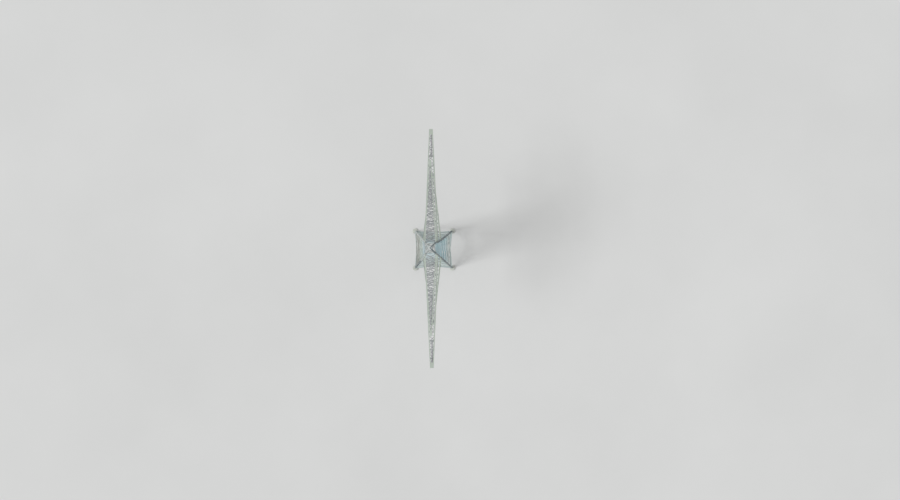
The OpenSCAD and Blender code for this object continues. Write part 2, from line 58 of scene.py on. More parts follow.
# The steelwork as it is set out, in metres. A storey is its lower and upper height
# and half the spread of the leg corners at each
WAIST_Z, MID_Z, TOP_Z, HEAD_Z = 13.25, 17.75, 22.0, 22.75
LOWER = (0.0, WAIST_Z, 1.85, 0.7)
MIDDLE = (WAIST_Z, MID_Z, 0.7, 0.462)
UPPER = (MID_Z, TOP_Z, 0.462, 0.365)
FOOT_Z, PORTAL_Z = 0.38, 2.95
BODY_LEVELS = (PORTAL_Z, 6.3, 8.9, 11.15, WAIST_Z)
MIDDLE_LEVELS = (WAIST_Z, WAIST_Z + 1.125, WAIST_Z + 2.25, WAIST_Z + 3.375, MID_Z)
UPPER_LEVELS = (MID_Z, MID_Z + 0.85, MID_Z + 1.7, TOP_Z - 1.7, TOP_Z - 0.85, TOP_Z, HEAD_Z)
LEG_A, LEG_T = 0.1, 0.01
NECK_LEG_A, NECK_LEG_T, NECK_A = 0.08, 0.008, 0.04
BRACE_A, LIGHT_A, PLATE_T, BITE = 0.05, 0.032, 0.005, 0.001
JOINT_HALF, CLEARANCE = 0.17, 0.008

# Where a leg's lengths are joined: storey, height and half the length of the joint
SPLICES = ((LOWER, 4.02, 0.2), (LOWER, 9.73, 0.18), (MIDDLE, 13.82, 0.14), (UPPER, 18.18, 0.12))
COVER_T = 0.006
FIRST_STEP_Z, STEP_PITCH, STEPS_END_BELOW = 1.6, 0.19, 0.3

# Insulators and what hangs from them
OUTER_Y, INNER_Y, LOWER_Y = 7.15, 4.05, 5.64
V_HALF, YOKE_HALF, STRING_DROP = 0.9, 0.045, 1.95
DISCS, DISC_H, DISC_R = 22, 0.073, 0.064
TWIN_HALF, PIN_BELOW_YOKE, CLAMP_BELOW_PIN = 0.1, 0.062, 0.068
PIN_BELOW_ARM, EARTH_Y, PEAK_PIN_Z = 0.02, 5.29, 23.446
WIRE_R = 0.00775


def add_camera():
    data = bpy.data.cameras.new("aerial_camera")
    data.sensor_width = SENSOR_MM
    data.lens = FOCAL_PX / FRAME_W_PX * SENSOR_MM
    data.clip_end = 500.0
    camera = bpy.data.objects.new("aerial_camera", data)
    bpy.context.scene.collection.objects.link(camera)
    off = (CENTRE_PX - NADIR_PX) / FOCAL_PX
    ahead = Vector((off.x, -off.y, -1.0)).normalized()
    north = Matrix.Rotation(ROLL, 3, "Z") @ Vector((0.0, 1.0, 0.0))
    right = ahead.cross(north).normalized()
    up = right.cross(ahead)
    turn = Matrix((right, up, -ahead)).transposed()
    camera.matrix_world = Matrix.Translation(CAMERA_PLACE) @ turn.to_4x4()
    bpy.context.scene.camera = camera


# Materials are built from a small set of node helpers
class Shader:
    """A node tree with its principled shader, on object coordinates."""

    def __init__(self, name):
        self.material = bpy.data.materials.new(name)
        self.material.use_nodes = True
        self.tree = self.material.node_tree
        self.surface = self.tree.nodes["Principled BSDF"]
        self.place = self.tree.nodes.new("ShaderNodeTexCoord").outputs["Object"]

    def link(self, a, b):
        self.tree.links.new(a, b)

    def stretched(self, scale):
        node = self.tree.nodes.new("ShaderNodeMapping")
        node.inputs["Scale"].default_value = scale
        self.link(self.place, node.inputs["Vector"])
        return node.outputs["Vector"]

    def noise(self, scale, detail=4.0, rough=0.55, stretch=None):
        node = self.tree.nodes.new("ShaderNodeTexNoise")
        node.inputs["Scale"].default_value = scale
        node.inputs["Detail"].default_value = detail
        node.inputs["Roughness"].default_value = rough
        self.link(self.stretched(stretch) if stretch else self.place, node.inputs["Vector"])
        return node.outputs["Fac"]

    def cells(self, scale):
        node = self.tree.nodes.new("ShaderNodeTexVoronoi")
        node.inputs["Scale"].default_value = scale
        self.link(self.place, node.inputs["Vector"])
        return node.outputs["Color"]

    def ramp(self, factor, stops):
        node = self.tree.nodes.new("ShaderNodeValToRGB")
        marks = node.color_ramp.elements
        while len(marks) < len(stops):
            marks.new(0.5)
        for mark, (at, colour) in zip(marks, stops):
            mark.position = at
            mark.color = (*colour, 1.0)
        self.link(factor, node.inputs["Fac"])
        return node.outputs["Color"]

    def mix(self, factor, a, b, mode="MIX"):
        node = self.tree.nodes.new("ShaderNodeMix")
        node.data_type = "RGBA"
        node.blend_type = mode
        sockets = [s for s in node.inputs if s.enabled]
        for socket, value in zip(sockets, (factor, a, b)):
            if isinstance(value, float):
                socket.default_value = value
            else:
                self.link(value, socket)
        return node.outputs["Result"] if node.outputs["Result"].enabled else node.outputs[2]

    def spread(self, factor, low, high):
        node = self.tree.nodes.new("ShaderNodeMapRange")
        node.inputs["From Min"].default_value = 0.3
        node.inputs["From Max"].default_value = 0.7
        node.inputs["To Min"].default_value = low
        node.inputs["To Max"].default_value = high
        self.link(factor, node.inputs["Value"])
        return node.outputs["Result"]

    def axis(self, name):
        """One coordinate of the place."""
        parts = self.tree.nodes.new("ShaderNodeSeparateXYZ")
        self.link(self.place, parts.inputs["Vector"])
        return parts.outputs[name]

    def math(self, operation, *values):
        node = self.tree.nodes.new("ShaderNodeMath")
        node.operation = operation
        for value, socket in zip(values, node.inputs):
            self.link(value, socket)
        return node.outputs["Value"]

    def step(self, value, low, high):
        """0 where the value is below low, 1 where it is above high."""
        node = self.tree.nodes.new("ShaderNodeMapRange")
        node.inputs["From Min"].default_value = low
        node.inputs["From Max"].default_value = high
        self.link(value, node.inputs["Value"])
        return node.outputs["Result"]

    def beyond(self, reach):
        """1 further north or south than the reach."""
        return self.step(self.math("ABSOLUTE", self.axis("Y")), reach, reach + 0.002)

    def above(self, low, high):
        """0 below the low height, 1 above the high one."""
        return self.step(self.axis("Z"), low, high)

    def off_east_ridges(self, width):
        """0 near the two eastern corners of the tower, 1 away from them."""
        # This mask places the painted shade on the peak's eastern ridges
        north = self.math("ABSOLUTE", self.axis("Y"))
        off = self.math("ABSOLUTE", self.math("SUBTRACT", self.axis("X"), north))
        return self.step(off, width * 0.9, width)

    def bump(self, height, strength, distance):
        node = self.tree.nodes.new("ShaderNodeBump")
        node.inputs["Strength"].default_value = strength
        node.inputs["Distance"].default_value = distance
        self.link(height, node.inputs["Height"])
        self.link(node.outputs["Normal"], self.surface.inputs["Normal"])


def weathered_zinc(name, coat, shine, other=None, where=None):
    """Dull galvanising: broad patches, a fine crystal spangle and streaks down the bars.
    A coat is its light and its dull colour. The other coat shows where where() is 1."""
    s = Shader(name)
    patches = s.noise(0.9, detail=6.0)
    streaks = s.noise(7.0, detail=5.0, stretch=(1.0, 1.0, 0.12))

    def coated(light, dull):
        tone = s.ramp(patches, [(0.35, dull), (0.65, light)])
        return s.mix(0.25, tone, s.ramp(streaks, [(0.3, dull), (0.7, light)]))

    tone = coated(*coat)
    # On the legs, the peak and the east and west sides the two coats are lit and shaded copies of one
    # steel: painted light and painted shade
    if other:
        tone = s.mix(where(s), tone, coated(*other))
    tone = s.mix(0.06, tone, s.cells(60.0), "OVERLAY")
    s.link(tone, s.surface.inputs["Base Color"])
    s.surface.inputs["Metallic"].default_value = 0.35
    s.link(s.spread(patches, shine + 0.12, shine - 0.08), s.surface.inputs["Roughness"])
    s.bump(s.noise(90.0, detail=2.0), 0.15, 0.001)
    return s.material


def cast_concrete(name):
    s = Shader(name)
    mottled = s.noise(3.5, detail=8.0)
    fine = s.noise(60.0, detail=6.0, rough=0.7)
    tone = s.ramp(mottled, [(0.3, (0.40, 0.42, 0.38)), (0.7, (0.58, 0.61, 0.56))])
    tone = s.mix(0.3, tone, s.ramp(fine, [(0.35, (0.34, 0.36, 0.32)), (0.6, (0.64, 0.66, 0.61))]))
    s.link(tone, s.surface.inputs["Base Color"])
    s.surface.inputs["Roughness"].default_value = 0.9
    s.bump(fine, 0.5, 0.004)
    return s.material


def grey_glaze(name):
    """Glazed porcelain: a cool grey, deeper in some firings, under a clear coat."""
    s = Shader(name)
    fired = s.noise(2.0, detail=2.0)
    dust = s.noise(25.0, detail=6.0)
    tone = s.ramp(fired, [(0.3, (0.36, 0.355, 0.38)), (0.7, (0.50, 0.50, 0.52))])
    tone = s.mix(0.2, tone, s.ramp(dust, [(0.45, (0.40, 0.39, 0.40)), (0.75, (0.55, 0.54, 0.52))]))
    s.link(tone, s.surface.inputs["Base Color"])
    s.link(s.spread(dust, 0.14, 0.34), s.surface.inputs["Roughness"])
    s.surface.inputs["Coat Weight"].default_value = 0.6
    s.surface.inputs["Coat Roughness"].default_value = 0.08
    return s.material


def pale_floor(name):
    s = Shader(name)
    tone = s.ramp(s.noise(0.05), [(0.3, (0.61, 0.615, 0.61)), (0.7, (0.65, 0.655, 0.65))])
    s.link(tone, s.surface.inputs["Base Color"])
    s.surface.inputs["Roughness"].default_value = 0.85
    return s.material


def add_floor():
    mesh = bpy.data.meshes.new("floor")
    shape = bmesh.new()
    bmesh.ops.create_grid(shape, x_segments=1, y_segments=1, size=FLOOR_HALF)
    shape.to_mesh(mesh)
    shape.free()
    floor = bpy.data.objects.new("floor", mesh)
    bpy.context.scene.collection.objects.link(floor)
    mesh.materials.append(pale_floor("pale_floor"))


def show_background(tree):
    """The camera and clear reflections see a pale backdrop; the light on the object stays as it is."""
    rays = tree.nodes.new("ShaderNodeLightPath")
    either = tree.nodes.new("ShaderNodeMath")
    either.operation = "MAXIMUM"
    tree.links.new(rays.outputs["Is Camera Ray"], either.inputs[0])
    tree.links.new(rays.outputs["Is Glossy Ray"], either.inputs[1])
    pale = tree.nodes.new("ShaderNodeBackground")
    pale.inputs["Color"].default_value = BACKDROP
    blend = tree.nodes.new("ShaderNodeMixShader")
    tree.links.new(either.outputs[0], blend.inputs["Fac"])
    tree.links.new(tree.nodes["Background"].outputs["Background"], blend.inputs[1])
    tree.links.new(pale.outputs["Background"], blend.inputs[2])
    tree.links.new(blend.outputs["Shader"], tree.nodes["World Output"].inputs["Surface"])


def add_light():
    world = bpy.data.worlds.new("soft_sky")
    world.use_nodes = True
    world.node_tree.nodes["Background"].inputs["Color"].default_value = (1.0, 1.0, 1.0, 1.0)
    world.node_tree.nodes["Background"].inputs["Strength"].default_value = SKY_STRENGTH
    show_background(world.node_tree)
    bpy.context.scene.world = world
    data = bpy.data.lights.new("key", "SUN")
    data.energy = SUN_STRENGTH
    data.angle = math.radians(SUN_SIZE_DEG)
    key = bpy.data.objects.new("key", data)
    turn_x, turn_y = SUN_TURN_DEG
    key.rotation_euler = (math.radians(turn_x), math.radians(turn_y), 0.0)
    bpy.context.scene.collection.objects.link(key)


# Shapes are gathered in a bmesh and become a piece that rides on the tower
def finish_piece(name, shape, material, stands_for=()):
    bmesh.ops.recalc_face_normals(shape, faces=shape.faces[:])
    mesh = bpy.data.meshes.new(name)
    shape.to_mesh(mesh)
    shape.free()
    mesh.materials.append(material)
    piece = bpy.data.objects.new(name, mesh)
    bpy.context.scene.collection.objects.link(piece)
    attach(piece, "root")
    if stands_for:
        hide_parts(*stands_for)
    return piece


def template(shape):
    """The mesh that stamp() repeats."""
    bmesh.ops.recalc_face_normals(shape, faces=shape.faces[:])
    mesh = bpy.data.meshes.new("template")
    shape.to_mesh(mesh)
    shape.free()
    return mesh


def stamp(shape, mesh, place):
    """Adds one more copy of a template to the shape, at its place."""
    copy = mesh.copy()
    copy.transform(place)
    shape.from_mesh(copy)
    bpy.data.meshes.remove(copy)


def prism(shape, radius, low, high, sides, place=Matrix()):
    """A round or many-sided bar along z."""
    middle = Matrix.Translation((0.0, 0.0, (low + high) / 2))
    made = bmesh.ops.create_cone(
        shape, cap_ends=True, segments=sides, radius1=radius, radius2=radius, depth=high - low,
        matrix=place @ middle,
    )
    return made["verts"]


def block(shape, low, high, place=Matrix()):
    """A flat bar or plate between two corners."""
    low, high = Vector(low), Vector(high)
    size = high - low
    fit = Matrix.Translation((low + high) / 2) @ Matrix.Diagonal((*size, 1.0))
    return bmesh.ops.create_cube(shape, size=1.0, matrix=place @ fit)["verts"]


def turned(shape, outline, steps, place=Matrix()):
    """A closed body of revolution about z, from an outline of (radius, height)."""
    verts = [shape.verts.new(place @ Vector((r, 0.0, z))) for r, z in outline]
    edges = [shape.edges.new(pair) for pair in zip(verts, verts[1:])]
    axis = place.to_3x3() @ Vector((0.0, 0.0, 1.0))
    bmesh.ops.spin(
        shape, geom=verts + edges, cent=place.translation, axis=axis, angle=math.tau, steps=steps,
        use_merge=True,
    )
    bmesh.ops.remove_doubles(shape, verts=shape.verts[:], dist=1e-6)


def half_width(storey, z):
    low_z, high_z, low_w, high_w = storey
    return low_w + (high_w - low_w) * (z - low_z) / (high_z - low_z)


def batter(storey):
    low_z, high_z, low_w, high_w = storey
    return math.atan((low_w - high_w) / (high_z - low_z))


def side_frame(side, storey):
    """The frame of a side: x across, y up its slope, z outwards. Side 0 faces south, 1 east."""
    turn = Matrix.Rotation(math.radians(90.0 * side), 4, "Z")
    foot = Matrix.Translation((0.0, -storey[2], storey[0]))
    lean = Matrix.Rotation(math.pi / 2 - batter(storey), 4, "X")
    return turn @ foot @ lean


def side_point(storey, x, z):
    return Vector((x, (z - storey[0]) / math.cos(batter(storey))))


def bolt_template(size):
    """A hexagon head on a round washer, standing on z = 0."""
    shape = bmesh.new()
    prism(shape, size * 1.1, 0.0, size * 0.18, 10)
    prism(shape, size * 0.9, size * 0.18, size * 0.85, 6)
    prism(shape, size * 0.42, size * 0.85, size * 1.15, 8)
    return template(shape)


# Where bolts go on a braced side, as points of the side's own frame
def gusset_bolts(storey, z, leg_a, rows, pitch):
    for h in (-1, 1):
        p = side_point(storey, h * (half_width(storey, z) - 0.62 * leg_a), z)
        for i in range(rows):
            yield Vector((p.x, p.y + (i - (rows - 1) / 2) * pitch, 0.0))


def end_bolts(p, q, depth, spacing):
    """Two bolts in each end of a bar."""
    along = (q - p).normalized()
    for end, way in ((p, 1.0), (q, -1.0)):
        for n in (0.7, 1.9):
            place = end + way * n * spacing * along
            yield Vector((place.x, place.y, depth))


def one_bolt(p, q, depth, far=0.012):
    """A single bolt in the p end of a bar from p to q."""
    place = p + far * (q - p).normalized()
    return Vector((place.x, place.y, depth))


class Panel:
    """One panel of crossed diagonals: its corners, and where the diagonals meet."""

    def __init__(self, storey, z0, z1, leg_a):
        self.storey, self.z0, self.z1, self.leg_a = storey, z0, z1, leg_a
        in0, in1 = (half_width(storey, z) - leg_a / 2 for z in (z0, z1))
        self.bl, self.br = side_point(storey, -in0, z0), side_point(storey, in0, z0)
        self.tl, self.tr = side_point(storey, -in1, z1), side_point(storey, in1, z1)
        self.middle = self.bl.lerp(self.tr, in0 / (in0 + in1))
        self.middle_z = z0 + (z1 - z0) * in0 / (in0 + in1)

    def leg_edge(self, h, z):
        return side_point(self.storey, h * (half_width(self.storey, z) - self.leg_a / 2), z)

    def diagonal_bolts(self, leg_t, width):
        front = BITE + leg_t - PLATE_T
        over = 0.5 * (self.leg_a + 0.06) / (self.br.x + self.tr.x)
        under = (width / 2 + 0.03) / (self.tl.y - self.br.y)
        yield from end_bolts(self.bl.lerp(self.tr, over), self.tr.lerp(self.bl, over), -front, 0.03)
        yield from end_bolts(self.br.lerp(self.tl, under), self.tl.lerp(self.br, under), -leg_t, 0.03)
        for way, depth in ((self.tr - self.bl, -front), (self.tl - self.br, -leg_t)):
            for h in (-1, 1):
                place = self.middle + h * 0.7 * width * way.normalized()
                yield Vector((place.x, place.y, depth))

    def prop_bolts(self, leg_t):
        """One bolt at each end of the light bars that prop the diagonals."""
        front = BITE + leg_t - PLATE_T
        ends = (
            (self.z0, self.br.x, 1, JOINT_HALF + CLEARANCE + LIGHT_A),
            (self.z1, self.tr.x, -1, CLEARANCE + LIGHT_A / 2),
        )
        for h in (-1, 1):
            for z, corner_x, way, foot_x in ends:
                corner = side_point(self.storey, h * corner_x, z)
                depth = -front if h * way < 0 else -leg_t
                near_z = z + 0.37 * (self.middle_z - z)
                far_z = self.middle_z - way * (LIGHT_A / 2 + CLEARANCE)
                foot = side_point(self.storey, h * foot_x, z)
                props = (
                    (0.37, self.leg_edge(h, near_z), 0.0),
                    (0.63, self.leg_edge(h, far_z), 0.0),
                    (0.5, foot, -leg_t),
                )
                for share, end, end_depth in props:
                    start = corner.lerp(self.middle, share)
                    yield one_bolt(start, end, depth, 0.004)
                    yield one_bolt(end, start, end_depth)


def portal_bolts():
    """The feet, the props and the meeting plate of the bottom panel's two struts."""
    top = side_point(LOWER, 0.0, PORTAL_Z)
    for h in (-1, 1):
        foot = side_point(LOWER, h * (half_width(LOWER, FOOT_Z) - LEG_A / 2), FOOT_Z)
        for at in (0.08, 0.125):
            yield one_bolt(foot, top, BITE - LEG_T, at)
        for at in (0.07, 0.12):
            yield one_bolt(top, foot, -LEG_T, at)
        for i in (1, 2, 3):
            for share, level in ((i / 4, i / 4), ((i + 0.2) / 4, (i + 0.65) / 4)):
                z = FOOT_Z + (PORTAL_Z - FOOT_Z) * level
                end = side_point(LOWER, h * (half_width(LOWER, z) - LEG_A / 2), z)
                start = foot.lerp(top, share)
                yield one_bolt(start, end, -LEG_T, 0.004)
                yield one_bolt(end, start, 0.0)
    for x in (-0.13, -0.05, 0.05, 0.13):
        yield Vector((x, top.y, -LEG_T))


def add_side_bolts(finish):
    """Bolt heads in the gussets and bar ends of each side, one piece a side."""
    heavy, light = bolt_template(0.01), bolt_template(0.008)
    for side, name in enumerate(("south", "east", "north", "west")):
        shape = bmesh.new()

        def bolt(head, place, points):
            for at in points:
                stamp(shape, head, place @ Matrix.Translation(at))

        place = side_frame(side, LOWER)
        bolt(heavy, place, gusset_bolts(LOWER, FOOT_Z, LEG_A, 4, 0.055))
        bolt(heavy, place, portal_bolts())
        for z in BODY_LEVELS:
            bolt(heavy, place, gusset_bolts(LOWER, z, LEG_A, 5, 0.055))
        for z0, z1 in zip(BODY_LEVELS, BODY_LEVELS[1:]):
            panel = Panel(LOWER, z0, z1, LEG_A)
            bolt(heavy, place, panel.diagonal_bolts(LEG_T, BRACE_A))
            bolt(light, place, panel.prop_bolts(LEG_T))
        for storey, levels in ((MIDDLE, MIDDLE_LEVELS), (UPPER, UPPER_LEVELS)):
            place = side_frame(side, storey)
            # A storey's first joint has its bolts from the storey below
            for z in levels[1:]:
                bolt(light, place, gusset_bolts(storey, z, NECK_LEG_A, 3, 0.05))
            for z0, z1 in zip(levels, levels[1:]):
                bolt(light, place, Panel(storey, z0, z1, NECK_LEG_A).diagonal_bolts(NECK_LEG_T, NECK_A))
        finish_piece(f"bolts_{name}_side", shape, finish)


def add_leg_splices(finishes):
    """Cover plates over the joints between a leg's lengths, one on each flange."""
    head = bolt_template(0.01)
    legs = (
        # Each leg's splices take that leg's finish: painted shade on the eastern legs and low on the
        # south-west leg, the lit copy on the north-west leg
        ("ne", (1, 2), "shaded_leg"), ("nw", (2, 3), "sunlit_leg"),
        ("sw", (3, 0), "leg_shaded_low"), ("se", (0, 1), "shaded_leg"),
    )
    for name, sides, finish in legs:
        shape = bmesh.new()
        for storey, z, half in SPLICES:
            flange = LEG_A if storey is LOWER else NECK_LEG_A
            lean = math.atan2(storey[2] - storey[3], storey[1] - storey[0])
            for side, h in zip(sides, (1, -1)):
                p = side_point(storey, h * (half_width(storey, z) - 0.5 * flange), z)
                along_leg = Matrix.Translation((p.x, p.y, 0.0)) @ Matrix.Rotation(h * lean, 4, "Z")
                place = side_frame(side, storey) @ along_leg
                block(shape, (-0.38 * flange, -half, 0.0), (0.38 * flange, half, COVER_T), place)
                for k in range(6):
                    stamp(shape, head, place @ Matrix.Translation((0.0, (k - 2.5) * half / 3, COVER_T)))
        finish_piece(f"leg_splices_{name}", shape, finishes[finish])


# The crossarms as they are set out. A crossarm is its storey, height, depth at the
# body, reach, half the tip's width, depth at the tip, its chords' flange and
# thickness, and its panel points
def steps(p, q, n):
    return [p + (q - p) * i / n for i in range(1, n + 1)]


MIDDLE_PANELS = (
    [0.462] + steps(0.462, 3.15, 4) + steps(3.15, 4.95, 3) + steps(4.95, 6.25, 2) + steps(6.25, 8.05, 3)
)
ARMS = {
    "middle": (UPPER, MID_Z, 1.7, 8.075, 0.125, 0.15, 0.06, 0.006, MIDDLE_PANELS),
    "lower": (MIDDLE, WAIST_Z, 1.125, 5.7, 0.125, 0.15, 0.06, 0.006, [0.7] + steps(0.7, 5.64, 8)),
    "top": (UPPER, TOP_Z, 0.75, 5.35, 0.06, 0.1, 0.045, 0.005, [0.365] + steps(0.365, 5.29, 9)),
}


def plane_frame(origin, u, v):
    """A frame with x along u and y towards v."""
    ex = u.normalized()
    ez = u.cross(v).normalized()
    turn = Matrix((ex, ez.cross(ex), ez)).transposed()
    return Matrix.Translation(origin) @ turn.to_4x4()


def arm_corners(arm):
    """The roots and tips of the north-east chords, the lower pair and the upper pair."""
    storey, z, depth, reach, tip, tip_depth = arm[:6]
    low, high = half_width(storey, z), half_width(storey, z + depth)
    root, top_root = Vector((low, low, z)), Vector((high, high, z + depth))
    end = Vector((tip, reach, z))
    return root, top_root, end, end + (top_root - root) * tip_depth / depth


def truss_bolts(arm):
    """The frame of an arm's east truss and the bolts in its web."""
    chord, panels = arm[6], arm[8]
    root, top_root, end, top_end = arm_corners(arm)
    place = plane_frame(root, end - root, top_root - root)
    to_plane = place.inverted()
    inset = Vector((0.0, chord / 2))
    b0, b1 = ((to_plane @ p).to_2d() + inset for p in (root, end))
    t0, t1 = ((to_plane @ p).to_2d() - inset for p in (top_root, top_end))
    off = Vector((LIGHT_A * 0.8, 0.0))
    points = []
    for i, (y0, y1) in enumerate(zip(panels, panels[1:])):
        k0, k1 = ((y - root.y) / (end.y - root.y) for y in (y0, y1))
        low, high = (b0.lerp(b1, k0), b0.lerp(b1, k1)), (t0.lerp(t1, k0), t0.lerp(t1, k1))
        p, q = (low[0], high[1]) if i % 2 else (high[0], low[1])
        if abs(q.y - p.y) > 0.3 * (q.x - p.x):
            points += [one_bolt(p + off, q, 0.0), one_bolt(q - off, p, 0.0)]
            points += [one_bolt(p + off, q, 0.0, 0.03), one_bolt(q - off, p, 0.0, 0.03)]
        elif (high[1] - low[1]).length > LIGHT_A:
            points += [one_bolt(e - Vector((0.04, 0.0)), f, 0.0) for e, f in (low[::-1], high[::-1])]
    return place, points


def lacing_bolts(arm, top):
    """The frame of an arm's level or sloping lacing and the bolts in it."""
    chord, panels = arm[6], arm[8]
    corners = arm_corners(arm)
    root, end = (corners[1], corners[3]) if top else (corners[0], corners[2])
    way = Vector((0.0, end.y - root.y, end.z - root.z))
    place = plane_frame(Vector((0.0, root.y, root.z)), Vector((1.0 if top else -1.0, 0.0, 0.0)), way)
    w0, w1 = root.x - chord / 2, end.x - chord / 2
    points = []
    for y0, y1 in zip(panels, panels[1:]):
        k0, k2 = ((y - corners[0].y) / (corners[2].y - corners[0].y) for y in (y0, y1))
        joints = (
            (1, k0, (0.028,)), (-1, (k0 + k2) / 2, (-0.024, 0.024)),
            (1, k2, (-0.028, 0.0)), (-1, k2, (0.0,)),
        )
        for h, k, gaps in joints:
            for gap in gaps:
                points.append(Vector((h * (w0 + (w1 - w0) * k), way.length * k + gap, 0.0)))
    return place, points


def add_arm_bolts(finish):
    """The bolts of each crossarm's trusses and lacing, one piece an arm."""
    head = bolt_template(0.007)
    mirror = Matrix.Diagonal((-1.0, 1.0, 1.0, 1.0))
    for name, arm in ARMS.items():
        trusses, faces = truss_bolts(arm), [lacing_bolts(arm, top) for top in (False, True)]
        for way, turn in (("north", Matrix()), ("south", Matrix.Rotation(math.pi, 4, "Z"))):
            shape = bmesh.new()
            for side in (Matrix(), mirror):
                place, points = trusses
                for at in points:
                    stamp(shape, head, turn @ side @ place @ Matrix.Translation(at))
            for place, points in faces:
                for at in points:
                    stamp(shape, head, turn @ place @ Matrix.Translation(at))
            finish_piece(f"bolts_{name}_arm_{way}", shape, finish)


# Insulator strings: cap-and-pin discs, the links above and below them, and the yoke
def string_frame(top, bottom):
    """A frame at the top of a string whose z points back up the string."""
    up = (top - bottom).normalized()
    side = Vector((1.0, 0.0, 0.0))
    back = up.cross(side)
    turn = Matrix((side, back, up)).transposed()
    return Matrix.Translation(top) @ turn.to_4x4()


def shell_template():
    """The porcelain shell of one disc: a domed top and three drip rings below."""
    r, shape = DISC_R, bmesh.new()
    dome = [(0.022, -0.018), (0.034, -0.021), (0.050, -0.029)]
    edge = [(r - 0.002, -0.038), (r, -0.042), (r - 0.003, -0.046)]
    outer_ring = [(0.055, -0.040), (0.052, -0.050), (0.048, -0.039)]
    middle_ring = [(0.042, -0.038), (0.039, -0.049), (0.035, -0.037)]
    inner_ring = [(0.028, -0.036), (0.025, -0.046), (0.020, -0.036), (0.010, -0.036)]
    turned(shape, dome + edge + outer_ring + middle_ring + inner_ring, 20)
    return template(shape)


def cap_template():
    """The metal cap above a shell, and the pin below it that hooks into the next cap."""
    shape = bmesh.new()
    cap = [(0.008, 0.001), (0.015, 0.0), (0.019, -0.004), (0.021, -0.010), (0.0235, -0.020), (0.0, -0.021)]
    turned(shape, [(0.0, 0.001)] + cap, 14)
    stem = [(0.0, -0.034), (0.009, -0.036), (0.006, -0.046), (0.006, -0.064)]
    knob = [(0.010, -0.067), (0.010, -0.072), (0.0, -0.073)]
    turned(shape, stem + knob, 10)
    return template(shape)


def across(place=Matrix()):
    """A frame whose z runs along x, for pins."""
    return place @ Matrix.Rotation(math.pi / 2, 4, "Y")


def tongue_template():
    """The eye that hangs on a crossarm's pin, with the flat bar below it."""
    shape = bmesh.new()
    rim = [(0.0062, -0.005), (0.0144, -0.005), (0.0144, 0.005), (0.0062, 0.005), (0.0062, -0.005)]
    turned(shape, rim, 20, across())
    block(shape, (-0.0048, -0.012, -0.06), (0.0048, 0.012, -0.0105))
    return template(shape)


def nuts(shape, place, near, far, size):
    """The head and the nut on the two ends of a pin."""
    prism(shape, size, near, far, 6, across(place))
    prism(shape, size, -far, -near, 6, across(place))


def link_bars(shape, place, high, low):
    """Two flat straps side by side, with a pin at each end."""
    for h in (-1, 1):
        block(shape, (h * 0.008 - 0.003, -0.012, low), (h * 0.008 + 0.003, 0.012, high), place)
    for z in (high - 0.014, low + 0.014):
        pin = place @ Matrix.Translation((0.0, 0.0, z))
        prism(shape, 0.0055, -0.018, 0.018, 8, across(pin))
        nuts(shape, pin, 0.011, 0.017, 0.009)


def yoke_plate(shape, y, z):
    """The steel plate between the strings and the pair of conductor clamps."""
    corners = [(-0.06, 0.03), (0.06, 0.03), (0.125, -0.06), (0.1, -0.08), (-0.1, -0.08), (-0.125, -0.06)]
    verts = [shape.verts.new((-0.005, y + a, z + b)) for a, b in corners]
    face = shape.faces.new(verts)
    made = bmesh.ops.extrude_face_region(shape, geom=[face])
    moved = [v for v in made["geom"] if isinstance(v, bmesh.types.BMVert)]
    bmesh.ops.translate(shape, verts=moved, vec=(0.01, 0.0, 0.0))
    for h in (-1, 1):
        pin = Matrix.Translation((0.0, y + h * TWIN_HALF, z - PIN_BELOW_YOKE))
        prism(shape, 0.006, -0.022, 0.022, 12, across(pin))
        nuts(shape, pin, 0.0125, 0.0185, 0.01)


def string_sets():
    """Each set of strings: its name, the nodes it stands for, the yoke's place and the strings' tops."""
    for way, h in (("north", 1.0), ("south", -1.0)):
        for name, y in (("outer", OUTER_Y), ("inner", INNER_Y)):
            tops = [(h * (y + s * V_HALF), h * (y + s * YOKE_HALF)) for s in (-1, 1)]
            yield f"{way}_{name}", f"insulators_{way}_{name}", h * y, MID_Z, tops
        yield f"{way}_lower", f"insulator_{way}_lower", h * LOWER_Y, WAIST_Z, [(h * LOWER_Y, h * LOWER_Y)]


def add_strings(glaze, metal):
    shell, cap, tongue = shell_template(), cap_template(), tongue_template()
    for name, node, y, level, tops in string_sets():
        shells, fittings = bmesh.new(), bmesh.new()
        for top_y, bottom_y in tops:
            top = Vector((0.0, top_y, level - PIN_BELOW_ARM))
            bottom = Vector((0.0, bottom_y, level - STRING_DROP))
            place = string_frame(top, bottom)
            span = (top - bottom).length
            slack = span - DISCS * DISC_H
            start = -slack * 0.6
            for i in range(DISCS):
                at = place @ Matrix.Translation((0.0, 0.0, start - i * DISC_H))
                stamp(shells, shell, at)
                stamp(fittings, cap, at)
            stamp(fittings, tongue, place)
            nuts(fittings, Matrix.Translation(top), 0.0142, 0.0195, 0.01)
            link_bars(fittings, place, -0.034, start + 0.004)
            link_bars(fittings, place, start - DISCS * DISC_H + 0.006, -span - 0.006)
        yoke_plate(fittings, y, level - STRING_DROP)
        finish_piece(f"insulator_discs_{name}", shells, glaze, [node])
        finish_piece(f"string_fittings_{name}", fittings, metal, [node])


def keeper_template():
    """A bent bolt around a clamp, with the saddle and the two nuts that tighten it."""
    shape = bmesh.new()
    bend, rod = WIRE_R * 2.2 + 0.0035, 0.0035
    turns = [math.pi * k / 8 for k in range(9)]
    path = [Vector((0.0, bend, 0.03))]
    path += [Vector((0.0, bend * math.cos(a), -bend * math.sin(a))) for a in turns]
    path += [Vector((0.0, -bend, 0.03))]
    for p, q in zip(path, path[1:]):
        way = (q - p).to_track_quat("Z", "Y").to_matrix().to_4x4()
        prism(shape, rod, 0.0, (q - p).length, 8, Matrix.Translation(p) @ way)
    block(shape, (-0.011, -bend - 0.008, 0.0155), (0.011, bend + 0.008, 0.0205))
    for h in (-1, 1):
        prism(shape, 0.0075, 0.0205, 0.0265, 6, Matrix.Translation((0.0, h * bend, 0.0)))
    return template(shape)


